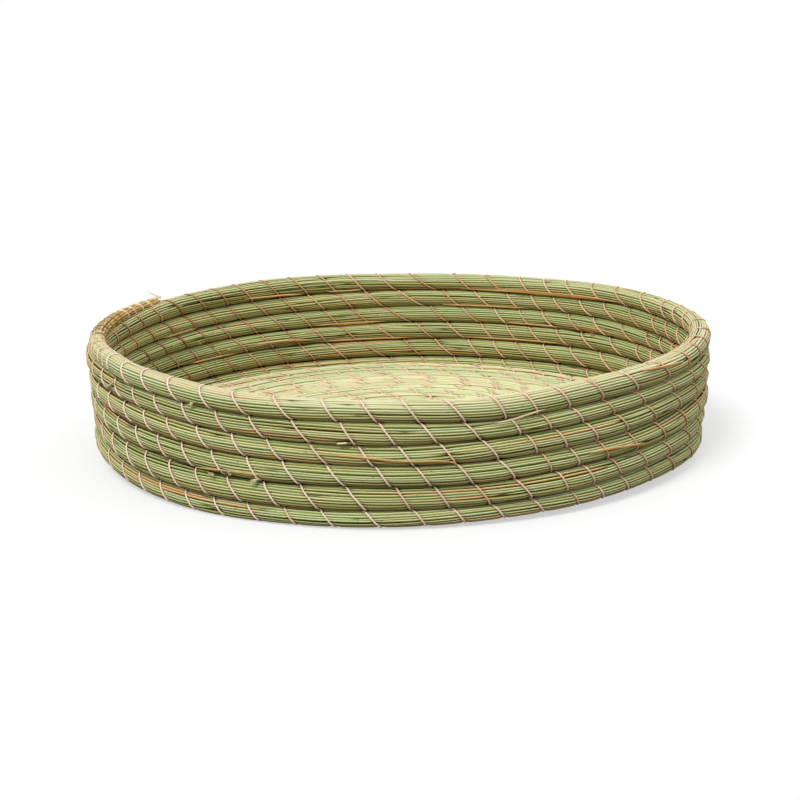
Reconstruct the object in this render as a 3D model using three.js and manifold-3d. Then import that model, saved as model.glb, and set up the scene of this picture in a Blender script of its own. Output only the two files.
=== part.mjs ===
// Coiled esparto grass tray. One bundle of grass stems is wound into a flat floor and then
// stacked into a low wall, and thread is stitched round every row of the wall.
// Millimetres; angles in degrees, counted anticlockwise from +X seen from above; +Z is up.
// The origin is the middle of the underside, and -Y is the side that faces the viewer.

import * as THREE from "three";
import { mergeVertices } from "three/addons/utils/BufferGeometryUtils.js";
import Module from "manifold-3d";

const wasm = await Module();
wasm.setup();

// The tray
const bottomRowRadius = 188.6; // from the middle to the centreline of the wall's lowest row
const rimOverhang = 5; // the rim row lies this much further out, so the wall leans out a little
const leanExponent = 0.56; // below 1, the lower rows lean out more than the upper ones
const wallRows = 6;

// The bundle, pressed a little wider than high in the wall and higher than wide in the floor
const wallBundleWidth = 12.3;
const wallBundleHeight = 10.8;
const floorBundleWidth = 11.6;
const floorBundleHeight = 12.2;
const floorRingSpace = 1.2; // mean room between two rings of the floor
const startRadius = 4.6; // centreline of the coil where it starts in the middle
const startThinness = 0.5; // the bundle starts with this share of its thickness
const startTurns = 0.8; // and has all its stems after this many turns
const standingFlatDepth = 1.22; // the floor's rings are worn flat underneath by this much

// The coil is wound clockwise seen from above, so the azimuth falls along it.
// Where its rows step up, and how it ends
const climbAzimuth = 245; // each row starts to climb onto the next here, at the front left
const climbSpan = 80;
const floorClimbLag = 30; // the floor's rings step outwards a little later than the wall's rows climb
const endTaperAzimuth = 210; // the rim row starts to thin here
const endTipAzimuth = 150;
const endTipThinness = 0.42;
const endLeanAngle = 66; // the tip lies on the outer shoulder of the row below, this far above level

// The thread
const threadThickness = 1.1;
const threadClearance = 0.4; // between the thread and the bundles beside it
const stitchPitch = 23.6; // along the row
const columnShiftShare = 0.37; // each row's stitches stand this share of a pitch on from the row above
const endBindingDensity = 2; // the thinning end has this many stitches for each one of a row
const endBindingLag = 0.33; // and they start this share of a pitch on, clear of the row below's thread
const tailLength = 9.5; // loose end of the thread at the coil's tip
const tailRiseAngle = 17; // the tail sticks out from the tray, this far above level

// How finely the curves are divided
const stepsPerTurn = 24;
const threadCorners = 3;
const taperSteps = 4;
const leastBendSpace = 0.03; // of a pitch, between two bends of the thread

// A stitch goes from the top down the inside, under the bundle and up the outside. These are the
// shares of its advance that are done at each of the bundle's six corners.
const stitchShares = {
  top: 0,
  innerShoulder: 0.17,
  innerHaunch: 0.43,
  under: 0.545,
  outerHaunch: 0.67,
  outerShoulder: 0.92,
};

// Worked out from the sizes above
const threadSlot = threadThickness + 2 * threadClearance; // room between two rows for the thread
const threadLift = threadSlot / 2; // from a bundle's surface to the middle of the thread
const rowPitch = wallBundleHeight + threadSlot;
const floorHeight = floorBundleHeight / 2 - standingFlatDepth;
const bottomRowHeight = threadSlot + wallBundleHeight / 2;
const homeAzimuth = climbAzimuth - climbSpan - floorClimbLag; // where the floor ends and the wall starts
const outerRingRadius = bottomRowRadius - (wallBundleWidth + floorBundleWidth) / 2 - threadSlot;
const innerRings = Math.floor((outerRingRadius - startRadius) / (floorBundleWidth + floorRingSpace));
const ringPitch = (outerRingRadius - startRadius) / innerRings;
const floorTurns = innerRings + 1; // the last turn steps out to the place of the wall's lowest row
const rimRowRadius = bottomRowRadius + rimOverhang;
const meanWallRadius = (bottomRowRadius + rimRowRadius) / 2;
const cornerShares = Object.values(stitchShares);
const bundleCorners = cornerShares.length;
const tucked = stitchShares.under; // each length of thread starts and ends under the bundle
const stitchesPerTurn = Math.round((2 * Math.PI * meanWallRadius) / stitchPitch) - columnShiftShare;

const radians = THREE.MathUtils.degToRad;
const mix = THREE.MathUtils.lerp;
const outward = (azimuth) => new THREE.Vector3(Math.cos(radians(azimuth)), Math.sin(radians(azimuth)), 0);
const azimuthOf = (turn) => homeAzimuth - 360 * turn;

// A row or ring keeps its level for most of a turn and then steps to the next one.
// This is the share of the step that is done, from 0 to 1.
function stepDone(turn, climbStart) {
  const pastHome = 360 * (turn - Math.floor(turn));
  const startPastHome = 360 - (climbStart - homeAzimuth);
  return THREE.MathUtils.smoothstep(pastHome, startPastHome, startPastHome + climbSpan);
}

// The section of a bundle: six corners, from the top one inwards and round.
// x is outwards from the tray's middle and y is up.
function outline(width, height) {
  const corners = [];
  for (let i = 0; i < bundleCorners; i++) {
    const angle = radians(90 - (360 / bundleCorners) * i);
    const x = ((-width / 2) * Math.cos(angle)) / Math.cos(Math.PI / bundleCorners);
    corners.push(new THREE.Vector2(x, (height / 2) * Math.sin(angle)));
  }
  return corners;
}

// How far a section reaches in a direction of its own plane
function reach(width, height, direction) {
  return Math.max(...outline(width, height).map((corner) => corner.dot(direction)));
}

// The floor: near the middle it is an even spiral, and further out its rings turn slowly into
// circles with one short step, so that the last one fits inside the wall's round rows.
function floorPlace(turn) {
  const evenness = Math.min(1, turn / innerRings);
  const whole = Math.floor(turn);
  const done = stepDone(turn, climbAzimuth - floorClimbLag);
  const ring = whole + mix(turn - whole, done, evenness);
  const steppedOut = Math.max(0, ring - innerRings);
  const radius = steppedOut > 0
    ? mix(outerRingRadius, bottomRowRadius, steppedOut)
    : startRadius + ringPitch * ring;
  const fullness = mix(startThinness, 1, THREE.MathUtils.smoothstep(turn, 0, startTurns));
  const out = outward(azimuthOf(turn));
  const centre = out.clone().multiplyScalar(radius);
  centre.z = mix(floorHeight, bottomRowHeight, steppedOut);
  return {
    centre,
    out,
    width: fullness * mix(floorBundleWidth, wallBundleWidth, steppedOut),
    height: fullness * mix(floorBundleHeight, wallBundleHeight, steppedOut),
  };
}

// The wall's rows, level but for the climb. turn 0 is the start of the lowest row.
function rowPlace(turn) {
  const out = outward(azimuthOf(turn));
  const row = Math.floor(turn) + stepDone(turn, climbAzimuth);
  const lean = Math.pow(row / (wallRows - 1), leanExponent);
  const centre = out.clone().multiplyScalar(mix(bottomRowRadius, rimRowRadius, lean));
  centre.z = bottomRowHeight + rowPitch * row;
  return { centre, out, width: wallBundleWidth, height: wallBundleHeight };
}

// A place part of the way from one to the next, on the straight piece between them
function placeBetween(a, b, share) {
  return {
    centre: a.centre.clone().lerp(b.centre, share),
    out: a.out.clone().lerp(b.out, share),
    width: mix(a.width, b.width, share),
    height: mix(a.height, b.height, share),
  };
}

const turnAt = (row, azimuth) => row + (homeAzimuth + 360 - azimuth) / 360;
const taperStart = turnAt(wallRows - 1, endTaperAzimuth);
const coilEnd = turnAt(wallRows - 1, endTipAzimuth);

// The turns at which the wall's straight pieces meet. They are the same in every row, so the rows
// nest. The wall starts where the floor stops, end to end with it.
const buttGap = threadClearance / (2 * Math.PI * bottomRowRadius);
const wallTurns = [buttGap];
for (let i = 1; i / stepsPerTurn < taperStart; i++) wallTurns.push(i / stepsPerTurn);
for (let i = 0; i <= taperSteps; i++) wallTurns.push(mix(taperStart, coilEnd, i / taperSteps));

// The wall at any turn, on its straight pieces
function wallPlaceOnPieces(turn) {
  const next = Math.max(1, wallTurns.findIndex((station) => station >= turn));
  const [before, after] = [wallTurns[next - 1], wallTurns[next]];
  return placeBetween(wallPlace(before), wallPlace(after), (turn - before) / (after - before));
}

// The wall at the turns where its pieces meet. The thinning end leans from the top of the row
// below to its outer shoulder.
function wallPlace(turn) {
  if (turn < taperStart) return rowPlace(turn);
  const thinned = (turn - taperStart) / (coilEnd - taperStart);
  const fullness = mix(1, endTipThinness, thinned);
  const width = wallBundleWidth * fullness;
  const height = wallBundleHeight * fullness;
  const below = wallPlaceOnPieces(turn - 1);
  const angle = mix(Math.PI / 2, radians(endLeanAngle), thinned);
  const direction = new THREE.Vector2(Math.cos(angle), Math.sin(angle));
  const apart = reach(below.width, below.height, direction) + threadSlot + reach(width, height, direction);
  const centre = beside(below, apart * direction.x, apart * direction.y);
  return { centre, out: outward(azimuthOf(turn)), width, height };
}

// A point beside the middle of a bundle
function beside(place, x, y) {
  const point = place.centre.clone().addScaledVector(place.out, x);
  point.z += y;
  return point;
}

const sectionRing = (place) =>
  outline(place.width, place.height).map((corner) => beside(place, corner.x, corner.y));

// A closed tube through rings of points, with flat ends
function tube(rings) {
  const sides = rings[0].length;
  const last = (rings.length - 1) * sides;
  const faces = [];
  for (let i = 0; i + 1 < rings.length; i++) {
    for (let j = 0; j < sides; j++) {
      const a = i * sides + j;
      const b = i * sides + ((j + 1) % sides);
      faces.push(a, b, b + sides, a, b + sides, a + sides);
    }
  }
  for (let j = 1; j + 1 < sides; j++) {
    faces.push(0, j + 1, j);
    faces.push(last, last + j, last + j + 1);
  }
  const geometry = new THREE.BufferGeometry().setFromPoints(rings.flat());
  geometry.setIndex(faces);
  geometry.computeVertexNormals();
  return geometry;
}

// A thread along a line of points: each ring is turned from the one before it, without twist
function threadRings(points, thickness) {
  let across = new THREE.Vector3(0, 0, 1);
  return points.map((point, i) => {
    const from = points[Math.max(0, i - 1)];
    const to = points[Math.min(points.length - 1, i + 1)];
    const along = to.clone().sub(from).normalize();
    across = across.clone().addScaledVector(along, -across.dot(along)).normalize();
    const other = along.clone().cross(across);
    const ring = [];
    for (let j = 0; j < threadCorners; j++) {
      const angle = (2 * Math.PI * j) / threadCorners;
      ring.push(
        point.clone()
          .addScaledVector(across, (thickness / 2) * Math.cos(angle))
          .addScaledVector(other, (thickness / 2) * Math.sin(angle)),
      );
    }
    return ring;
  });
}

// A helix of stitches round the coil. A stitch number is a whole number at the top of a stitch.
// The thread bends at the bundle's corners, and where one of its straight pieces meets the next.
function stitchLine(fromStitch, toStitch, turnOf) {
  const cornerStitch = (index) => Math.floor(index / bundleCorners) + cornerShares[index % bundleCorners];
  const cornerBefore = (stitch) => {
    let index = Math.floor(stitch) * bundleCorners;
    while (cornerStitch(index + 1) <= stitch) index++;
    return index;
  };
  const pointAt = (stitch) => {
    const index = cornerBefore(stitch);
    const done = (stitch - cornerStitch(index)) / (cornerStitch(index + 1) - cornerStitch(index));
    const place = wallPlaceOnPieces(turnOf(stitch));
    const lifted = outline(place.width + 2 * threadLift, place.height + 2 * threadLift);
    const { x, y } = lifted[index % bundleCorners].lerp(lifted[(index + 1) % bundleCorners], done);
    return beside(place, x, y);
  };
  const bends = [];
  for (let index = cornerBefore(fromStitch) + 1; cornerStitch(index) < toStitch; index++) {
    bends.push(cornerStitch(index));
  }
  const stitchOf = (turn) => (turn - turnOf(0)) / (turnOf(1) - turnOf(0));
  for (const stitch of wallTurns.map(stitchOf)) {
    const room = Math.min(...[fromStitch, ...bends, toStitch].map((bend) => Math.abs(bend - stitch)));
    if (stitch > fromStitch && stitch < toStitch && room > leastBendSpace) bends.push(stitch);
  }
  return [fromStitch, ...bends.sort((x, y) => x - y), toStitch].map(pointAt);
}

// The least gap of a tube to its own other turns, measured on points spread over its surface
function leastGapToItself(rings, ringsPerTurn, finer) {
  const samples = [];
  for (let i = 0; i + 1 < rings.length; i++) {
    for (let k = 0; k < finer; k++) {
      const ring = rings[i].map((point, j) => point.clone().lerp(rings[i + 1][j], k / finer));
      const points = ring.flatMap((point, j) =>
        [0, 1, 2, 3].map((part) => point.clone().lerp(ring[(j + 1) % ring.length], part / 4)));
      const centre = points.reduce((sum, p) => sum.add(p), new THREE.Vector3()).divideScalar(points.length);
      samples.push({ at: i + k / finer, centre, points, size: centre.distanceTo(ring[0]) });
    }
  }
  let least = Infinity;
  for (const a of samples) {
    for (const b of samples) {
      if (b.at - a.at < ringsPerTurn / 2) continue;
      if (a.centre.distanceTo(b.centre) - a.size - b.size > least) continue;
      for (const p of a.points) for (const q of b.points) least = Math.min(least, p.distanceTo(q));
    }
  }
  return least;
}

// A solid cut off below the plane that the tray stands on
function cutFlat(geometry, depth) {
  const solidOf = (g) => {
    const bare = g.clone();
    bare.deleteAttribute("normal");
    bare.deleteAttribute("uv");
    const merged = mergeVertices(bare);
    return new wasm.Manifold(new wasm.Mesh({
      numProp: 3,
      vertProperties: merged.attributes.position.array,
      triVerts: new Uint32Array(merged.index.array),
    }));
  };
  const across = 4 * bottomRowRadius;
  const slab = new THREE.BoxGeometry(across, across, 2 * depth).translate(0, 0, -depth);
  const cut = solidOf(geometry).subtract(solidOf(slab)).getMesh();
  const result = new THREE.BufferGeometry();
  result.setAttribute("position", new THREE.BufferAttribute(cut.vertProperties, 3));
  result.setIndex(new THREE.BufferAttribute(cut.triVerts, 1));
  result.computeVertexNormals();
  return result;
}

const tray = new THREE.Group();
const grass = { roughness: 0.75, metalness: 0 };
const cotton = { color: 0xd9bfa3, roughness: 0.85, metalness: 0 };

function add(name, geometry, look) {
  const mesh = new THREE.Mesh(geometry, new THREE.MeshStandardMaterial(look));
  mesh.name = name;
  tray.add(mesh);
}

function report(name, gap) {
  console.log(`${name}: least gap to itself ${gap.toFixed(2)} mm`);
}

// The floor, one unbroken tube from the middle to the place where the wall starts
function addFloorCoil() {
  const rings = [];
  for (let i = 0; i <= floorTurns * stepsPerTurn; i++) rings.push(sectionRing(floorPlace(i / stepsPerTurn)));
  report("floor_coil", leastGapToItself(rings, stepsPerTurn, 4));
  add("floor_coil", cutFlat(tube(rings), floorBundleHeight), { color: 0xc6c795, ...grass });
}

// The wall, one unbroken tube through all rows to the thin tip
function addWallCoil() {
  const rings = wallTurns.map((turn) => sectionRing(wallPlace(turn)));
  report("wall_coil", leastGapToItself(rings, stepsPerTurn, 4));
  add("wall_coil", tube(rings), { color: 0xa9ad6b, ...grass });
}

// One length of thread for each row. Both ends are tucked in under the row, where the next
// length starts, so the stitches run on without a break.
function addRowThreads() {
  const endSpace = (2 * threadThickness) / stitchPitch; // between one thread's end and the next one's start
  const turnOf = (stitch) => stitch / stitchesPerTurn;
  for (let row = 0; row < wallRows; row++) {
    const first = Math.ceil(row * stitchesPerTurn) + tucked + endSpace;
    const lastTurn = row + 1 < wallRows ? row + 1 : taperStart;
    const last = Math.ceil(lastTurn * stitchesPerTurn) + tucked - (row + 1 < wallRows ? 0 : 1);
    const rings = threadRings(stitchLine(first, last, turnOf), threadThickness);
    report(`row_${row + 1}_thread`, leastGapToItself(rings, bundleCorners, 4));
    add(`row_${row + 1}_thread`, tube(rings), cotton);
  }
}

// The thread that binds the thinning end with close stitches. It goes on from the rim row's thread,
// and at the tip a short loose tail sticks out.
function addEndBinding() {
  const startStitch = Math.ceil(taperStart * stitchesPerTurn) - 1 + tucked + endBindingLag;
  const turnOf = (stitch) => (startStitch + (stitch - tucked) / endBindingDensity) / stitchesPerTurn;
  const stitches = Math.floor((coilEnd * stitchesPerTurn - startStitch) * endBindingDensity + tucked);
  const line = stitchLine(tucked, stitches, turnOf);
  const tail = outward(azimuthOf(turnOf(stitches))).multiplyScalar(Math.cos(radians(tailRiseAngle)));
  tail.z = Math.sin(radians(tailRiseAngle));
  line.push(line.at(-1).clone().addScaledVector(tail, tailLength));
  const rings = threadRings(line, threadThickness);
  report("end_binding", leastGapToItself(rings, bundleCorners, 4));
  add("end_binding", tube(rings), cotton);
}

addFloorCoil();
addWallCoil();
addRowThreads();
addEndBinding();

export default tray;
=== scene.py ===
# %% [markdown]
# # A coiled tray of esparto grass
# Esparto is a grass whose dry leaves roll up into round, wiry stems. A handful of them, laid side
# by side, is a bundle as thick as a finger. The maker winds one such bundle into a flat spiral for
# the floor, goes on upwards in level rows for the wall, and sews each row to the one before it.
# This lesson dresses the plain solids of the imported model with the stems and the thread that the
# real tray shows. It loads the model first, because every size and place comes from it.

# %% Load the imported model
import math

import bpy
import numpy as np
from mathutils import Matrix, Vector


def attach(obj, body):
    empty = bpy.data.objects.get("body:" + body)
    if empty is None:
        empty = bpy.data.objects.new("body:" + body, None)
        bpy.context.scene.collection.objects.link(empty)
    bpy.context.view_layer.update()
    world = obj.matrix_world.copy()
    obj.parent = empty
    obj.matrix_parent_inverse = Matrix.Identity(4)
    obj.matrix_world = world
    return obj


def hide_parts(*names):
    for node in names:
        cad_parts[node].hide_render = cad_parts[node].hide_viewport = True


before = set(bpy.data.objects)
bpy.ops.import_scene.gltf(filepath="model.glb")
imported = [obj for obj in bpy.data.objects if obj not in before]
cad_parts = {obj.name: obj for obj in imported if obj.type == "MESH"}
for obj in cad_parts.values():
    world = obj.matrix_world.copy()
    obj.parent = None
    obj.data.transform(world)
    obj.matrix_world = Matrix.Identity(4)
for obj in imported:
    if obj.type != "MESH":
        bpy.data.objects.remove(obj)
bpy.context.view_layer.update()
bpy.ops.object.select_all(action="DESELECT")
print("nodes:", sorted(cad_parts))

# %% [markdown]
# ## The line that the bundle follows
# The bundle is one long line, so a single number says where we are on it: the turn. It is 0 where
# the wall starts, negative on the floor and positive on the wall, and one turn is once round the
# tray. The coil runs clockwise seen from above, so the azimuth falls along it. Everything that
# lies on the bundle is placed by its turn, so stems, thread and ends all bend together. Lengths
# are in millimetres until a mesh is made, and azimuths in degrees.

# %% Sizes of the coil
HOME = 135.0  # azimuth where the floor ends and the wall starts
TIP = 149.5  # azimuth where the bundle ends, on the rim
FLOOR_TURNS, WALL_ROWS = 14, 6
BOTTOM_RADIUS, RIM_RADIUS, LEAN = 188.6, 193.6, 0.56
UNDERSIDE, ROW_PITCH = 0.9, 12.7
START_RADIUS, OUTER_RING_RADIUS, FLOOR_HEIGHT = 4.6, 174.75, 4.88
CLIMB_START, CLIMB_SPAN = 245.0, 80.0  # where each row begins its step up, and how long that is
FLOOR_LAG = 7.0  # how much later the floor's rings step outwards


def smooth(x, low, high):
    """0 below low, 1 above high, and an even curve in between."""
    t = np.clip((x - low) / (high - low), 0, 1)
    return t * t * (3 - 2 * t)


def mix(a, b, share):
    return a + (b - a) * share


def last_row_turn(azimuth):
    """The turn at an azimuth of the bundle's last round."""
    return WALL_ROWS + (HOME - azimuth) / 360


def step_done(turn, climb_start):
    """The share of the step to the next row or ring that is done at this turn."""
    start = 360 - (climb_start - HOME)
    return smooth(360 * (turn - np.floor(turn)), start, start + CLIMB_SPAN)


def row_of(turn):
    """Which row of the wall: 0 is the lowest, and the climb from one to the next is in between."""
    return np.floor(turn) + step_done(turn, CLIMB_START)


def wall_radius(row):
    """How far out a row's middle is. The wall leans out most at its foot."""
    return mix(BOTTOM_RADIUS, RIM_RADIUS, (row / (WALL_ROWS - 1)) ** LEAN)


COIL_END = last_row_turn(TIP)
print("the wall's bundle ends at turn", round(COIL_END, 3))

# %% [markdown]
# ## Hand-made unevenness
# Hands don't wind a perfect circle. The creases between the rows rise and dip by a few
# millimetres round the tray, and each row stands a few tenths in or out of the one below. The
# table says how far each crease is off its even height at some azimuths: the first number is the
# underside of the lowest row, and the last one the top of the rim. Between them the heights are
# blended. A noise texture could displace the finished mesh instead, but it would bend the stitches
# and the stems apart. Faster unevenness is a sum of a few slow waves, the same in every run.

# %% Creases that rise and dip
CREASE_RISE = {
    0: (2.5, 3.0, 3.7, 2.3, 1.0, 1.3, 0.5), 20: (1.5, 2.7, 3.7, 2.3, 1.1, 0.7, 0.0),
    40: (1.0, 2.3, 3.6, 2.4, 1.6, 1.1, -0.3), 60: (0.5, 1.0, 2.2, 1.4, 0.4, -0.9, -2.0),
    90: (0.0, 0.0, 0.4, 0.1, -0.6, -1.1, -2.3), 120: (0.0, 0.4, 0.4, -0.3, -0.5, -1.4, -0.2),
    145: (0.0, 0.4, 0.0, -0.5, -1.7, -2.1, -1.5), 165: (0.0, 0.3, -0.3, -1.3, -2.8, -4.0, -3.3),
    185: (-1.5, -1.0, -0.5, -0.3, -1.0, -1.7, -2.2), 205: (-3.0, -2.6, -0.75, 0.8, 0.8, 0.6, -1.0),
    225: (-1.3, -2.8, 0.9, 2.8, 2.4, 1.3, 0.6), 245: (-0.7, -2.1, -0.7, 0.5, 0.1, -0.1, -0.7),
    265: (0.2, -2.6, -0.3, -1.3, -1.7, -0.6, -1.6), 285: (1.3, -1.5, -0.9, -0.6, -0.2, -2.6, -2.2),
    305: (3.1, 0.9, 2.2, 2.5, 2.3, 0.5, 1.5), 325: (4.0, 4.7, 2.5, 5.0, 5.4, 1.9, 2.4),
    340: (3.2, 5.0, 3.0, 4.5, 4.5, 1.4, 2.5),
}
BLEND = 6.0  # degrees over which the table's corners are rounded off


def blended_creases():
    """The table at every degree, with its corners rounded off."""
    degrees = np.arange(360)
    wide = np.exp(-((np.minimum(degrees, 360 - degrees) / BLEND) ** 2))
    rises = []
    for level in range(WALL_ROWS + 1):
        given = [rise[level] for rise in CREASE_RISE.values()]
        rise = np.interp(degrees, list(CREASE_RISE), given, period=360)
        rises.append(np.real(np.fft.ifft(np.fft.fft(rise) * np.fft.fft(wide / wide.sum()))))
    return np.array(rises)


crease_rises = blended_creases()


def crease_height(azimuth, level):
    """Height of the crease under row number level, which may lie between two rows on a climb."""
    a = np.mod(azimuth, 360)
    i, k = a.astype(int) % 360, np.clip(np.floor(level), 0, WALL_ROWS - 1).astype(int)
    low, high = (mix(crease_rises[n, i], crease_rises[n, (i + 1) % 360], a - np.floor(a))
                 for n in (k, k + 1))
    return UNDERSIDE + ROW_PITCH * level + mix(low, high, level - k)


def waves(x, seed, longest, shortest, count=4):
    """A smooth random curve along x with a spread of about 1, made of a few sines."""
    rng = np.random.default_rng(seed)
    total = np.zeros_like(np.asarray(x, float))
    for wavelength in np.geomspace(longest, shortest, count) * rng.uniform(0.85, 1.15, count):
        total = total + np.sin(2 * np.pi * (x / wavelength + rng.random()))
    return total / math.sqrt(count / 2)


print("creases rise and dip between %.1f and %.1f mm" % (crease_rises.min(), crease_rises.max()))

# %% [markdown]
# ## Where the bundle lies
# A curve could carry the bundle, but each stem and stitch has to know how far out, how high, how
# wide and how full the bundle is at its own turn, so one function works it all out. The floor's
# rings widen evenly near the middle. Further out they are level circles that step outwards in one
# short stretch, as the rows of the wall step up, so that the floor fits a round wall. The
# beginning is bent in and thinner, which closes the floor's middle.

# %% The place of the bundle at each turn
LAST_RING = FLOOR_TURNS - 1
START_CURL, START_FULLNESS, START_TURNS = 0.45, 0.55, 0.35
FLOOR_HALF_WIDTH, FLOOR_HALF_HEIGHT, WALL_HALF_WIDTH = 6.65, 6.2, 6.4
LAST_RING_WIDER = 0.45  # so that the floor's last ring reaches the wall
FLOOR_SWAY, WALL_SWAY = 0.25, 0.5


def ring_of(turn):
    """Which ring of the floor, and how far the bundle has come out from under the wall's rows."""
    t = np.clip(turn + FLOOR_TURNS, 0, FLOOR_TURNS - 1e-9)
    whole, stepped = np.floor(t), step_done(t, CLIMB_START - FLOOR_LAG)
    ring = whole + mix(t - whole, stepped, np.minimum(1, t / LAST_RING))
    return ring, np.where(turn < 0, np.maximum(0, ring - LAST_RING), 1)


def place(turn):
    """Where the middle of the bundle is: azimuth, radius, height, half width, half height, how far
    the pile of rows has folded from outwards (90) to upwards (0), and how full the bundle is."""
    turn = np.asarray(turn, float)
    azimuth = HOME - 360 * turn
    ring, out = ring_of(turn)
    floor_radius = np.where(out > 0, mix(OUTER_RING_RADIUS, BOTTOM_RADIUS, out),
                            START_RADIUS + (OUTER_RING_RADIUS - START_RADIUS) / LAST_RING * ring)
    row = row_of(np.maximum(turn, 0))
    lower, upper = crease_height(azimuth, row), crease_height(azimuth, row + 1)
    radius = np.where(turn < 0, floor_radius, wall_radius(row))
    sway = np.where(turn < 0, FLOOR_SWAY, WALL_SWAY) * waves(turn, 5, 0.9, 0.11)
    radius = radius + sway * smooth(turn + FLOOR_TURNS, 0.5, 3)
    widened = smooth(ring, LAST_RING - 0.6, LAST_RING) * (turn < 0) * (1 - out)
    return dict(
        azimuth=azimuth, radius=radius + LAST_RING_WIDER * widened, out=out,
        height=mix(FLOOR_HEIGHT, (lower + upper) / 2, out),
        half_width=mix(FLOOR_HALF_WIDTH, WALL_HALF_WIDTH, out) + LAST_RING_WIDER * widened,
        half_height=mix(FLOOR_HALF_HEIGHT, (upper - lower) / 2, out), fold=mix(90.0, 0.0, out),
        full=mix(START_FULLNESS, 1, smooth(turn + FLOOR_TURNS, -START_CURL, START_TURNS)))


here = place(2.5)
print("halfway up the wall the bundle is %.1f mm high" % (2 * here["half_height"]))

# %% [markdown]
# ## The thin end
# On the rim the bundle runs out: stems end one by one, and the strand that is left lies down on
# the outer shoulder of the row below. A taper on a curve object would only thin it, so a short
# table gives its fullness, how far out it lies, and its top at six azimuths. With the ends known,
# a fine table of turns turns millimetres along the bundle into turns, and back.

# %% The thin end, and lengths along the bundle
END_AZIMUTHS = (148, 160, 172, 190, 205, 216)  # from the tip
END_FULLNESS = (0.46, 0.53, 0.63, 0.76, 0.90, 1.0)
END_OUTWARDS = (1.6, 1.0, -0.4, -1.4, -0.8, 0.0)
END_TOPS = (78.4, 79.0, 79.6, 80.0, 80.8, 81.6)
END_HALF_HEIGHT, END_LAID_DOWN = 6.35, 203  # the azimuth from which it lies on the row below
END_STARTS = last_row_turn(END_AZIMUTHS[-1])


def end_place(turn):
    """The same as place, with the thinning end."""
    p = place(turn)
    azimuth = HOME + 360 * WALL_ROWS - 360 * np.asarray(turn, float)
    at_end = smooth(-azimuth, -END_AZIMUTHS[-1], -END_LAID_DOWN) * (np.asarray(turn) > END_STARTS)
    full, outwards, top = (np.interp(azimuth, END_AZIMUTHS, values)
                           for values in (END_FULLNESS, END_OUTWARDS, END_TOPS))
    below = place(np.asarray(turn, float) - 1)
    half = mix(p["half_height"], END_HALF_HEIGHT, at_end)
    p["radius"] = mix(p["radius"], below["radius"] + outwards, at_end)
    p["height"] = mix(p["height"], top - half * full, at_end)
    p["half_height"] = half
    p["full"] = np.where(turn > END_STARTS, full, p["full"])
    return p


def in_space(azimuth, radius, height):
    """Points from azimuths, distances from the tray's axis and heights."""
    a = np.radians(azimuth)
    return np.stack(np.broadcast_arrays(radius * np.cos(a), radius * np.sin(a), height), -1)


def length_along(points):
    """How far along a line each of its points lies."""
    return np.concatenate([[0], np.cumsum(np.linalg.norm(np.diff(points, axis=0), axis=1))])


table_turns = np.linspace(-FLOOR_TURNS - START_CURL, COIL_END, 60001)
table = end_place(table_turns)
table_length = length_along(in_space(table["azimuth"], table["radius"], table["height"]))
table_length -= np.interp(0, table_turns, table_length)
print("bundle: floor %.2f m, wall %.2f m" % (-table_length[0] / 1000, table_length[-1] / 1000))

# %% [markdown]
# ## Where the stitches sit
# The thread goes round the bundle like a spring. On the rim its stitches stand about 7 degrees
# apart, unevenly, as they were sewn by eye, and in each row below they stand a little further
# on, so they line up in slanting columns. A list of the rim's azimuths holds that rhythm, and
# every other stitch follows from it. A stitch number counts them along the bundle.

# %% Stitch numbers along the bundle
RIM_STITCHES = [
    201.5, 207.8, 214.2, 220.3, 227.0, 234.2, 240.8, 248.5, 256.9, 263.4, 270.3, 277.4, 285.3,
    290.7, 296.7, 303.5, 311.0, 320.3, 329.5, 336.4, 343.6, 352.0, 361.0, 368.5, 374.6, 380.3,
    389.4, 397.6, 404.4, 411.3, 416.7, 422.6, 430.2, 437.2, 447.3, 454.7, 461.0, 467.5, 474.0,
    480.8, 487.6, 493.3, 499.9, 506.6, 513.2, 520.0, 527.0, 534.2, 541.4, 548.4, 555.2,
]
COLUMN_SHIFT = 2.95  # degrees further on for each row further down
FLOOR_STITCH = 25.0  # millimetres between the stitches of the floor
UNEVEN = 0.015  # share of a stitch by which they stray

rounds = np.arange(-9, 3)
column_angles = np.concatenate([np.array(RIM_STITCHES) + 360 * k for k in rounds])
column_numbers = np.arange(len(column_angles))


def wall_stitch_number(turn):
    angle = HOME - 360 * turn - COLUMN_SHIFT * (WALL_ROWS - 1 - row_of(turn))
    return -np.interp(angle, column_angles, column_numbers)


first_number = wall_stitch_number(np.array(0.0))
table_number = np.where(table_turns < 0, first_number + table_length / FLOOR_STITCH,
                        wall_stitch_number(np.maximum(table_turns, 0)))
table_number = table_number + UNEVEN * waves(table_length, 11, 900, 140, 5)
table_number = np.maximum.accumulate(table_number + np.arange(len(table_number)) * 1e-9)


def turn_at(number):
    return np.interp(number, table_number, table_turns)


def number_at(turn):
    return np.interp(turn, table_turns, table_number)


def length_at(turn):
    return np.interp(turn, table_turns, table_length)


print("stitches: %.0f on the floor, %.0f on the wall" % (
    number_at(0) - table_number[0], table_number[-1] - number_at(0)))

# %% [markdown]
# ## The path of one stitch
# Going once round the bundle, a stitch moves on by one stitch number: three fifths of it down the
# inside of the wall, and the rest up the outside. The angle round the bundle is 0 towards the next
# row, and 90 on the outside of the wall, which is the underside of the floor. Near the creases
# the thread runs straight through, so the slanting lines go on from row to row. Where the thread
# lies it draws the stems in a little, and they swell between two stitches. That gives the rows
# their scalloped edge.

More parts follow.
